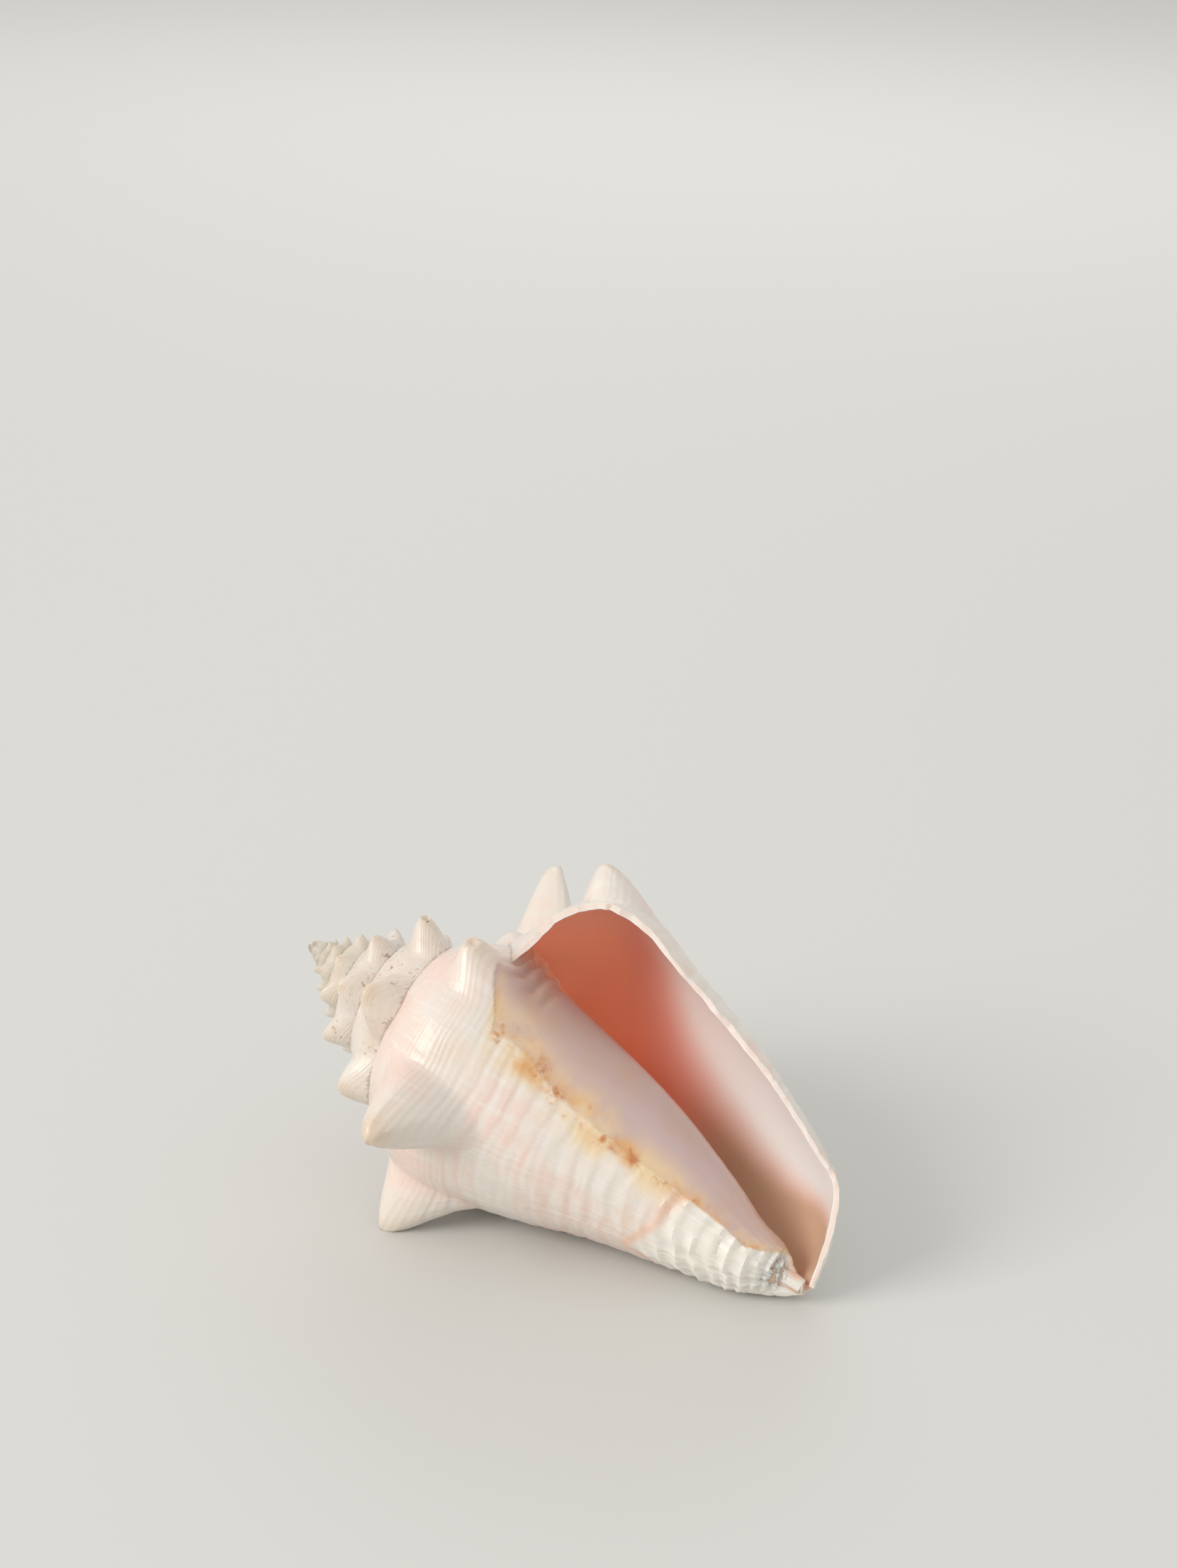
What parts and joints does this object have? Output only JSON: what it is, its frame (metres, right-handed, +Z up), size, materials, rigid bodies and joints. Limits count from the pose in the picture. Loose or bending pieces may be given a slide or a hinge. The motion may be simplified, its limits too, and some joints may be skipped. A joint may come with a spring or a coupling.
{
  "type": "conch shell",
  "caption": "Young conch shell with a knobbly spire, a row of long shoulder spines, a thin outer lip and a wide open aperture.",
  "frame": {"origin": "middle of the box on the level plane that the shell rests on", "axes": "+Z up, +X along the shell from the apex to the canal end, -Y out of the aperture"},
  "size_m": [0.1614, 0.1176, 0.0982],
  "materials": {
    "shell": "pale cream shell, glossy on the lip and inside, chalky at the canal, coral inside the aperture"
  },
  "bodies": {
    "root": {"conch_shell": "shell"}
  },
  "joints": []
}
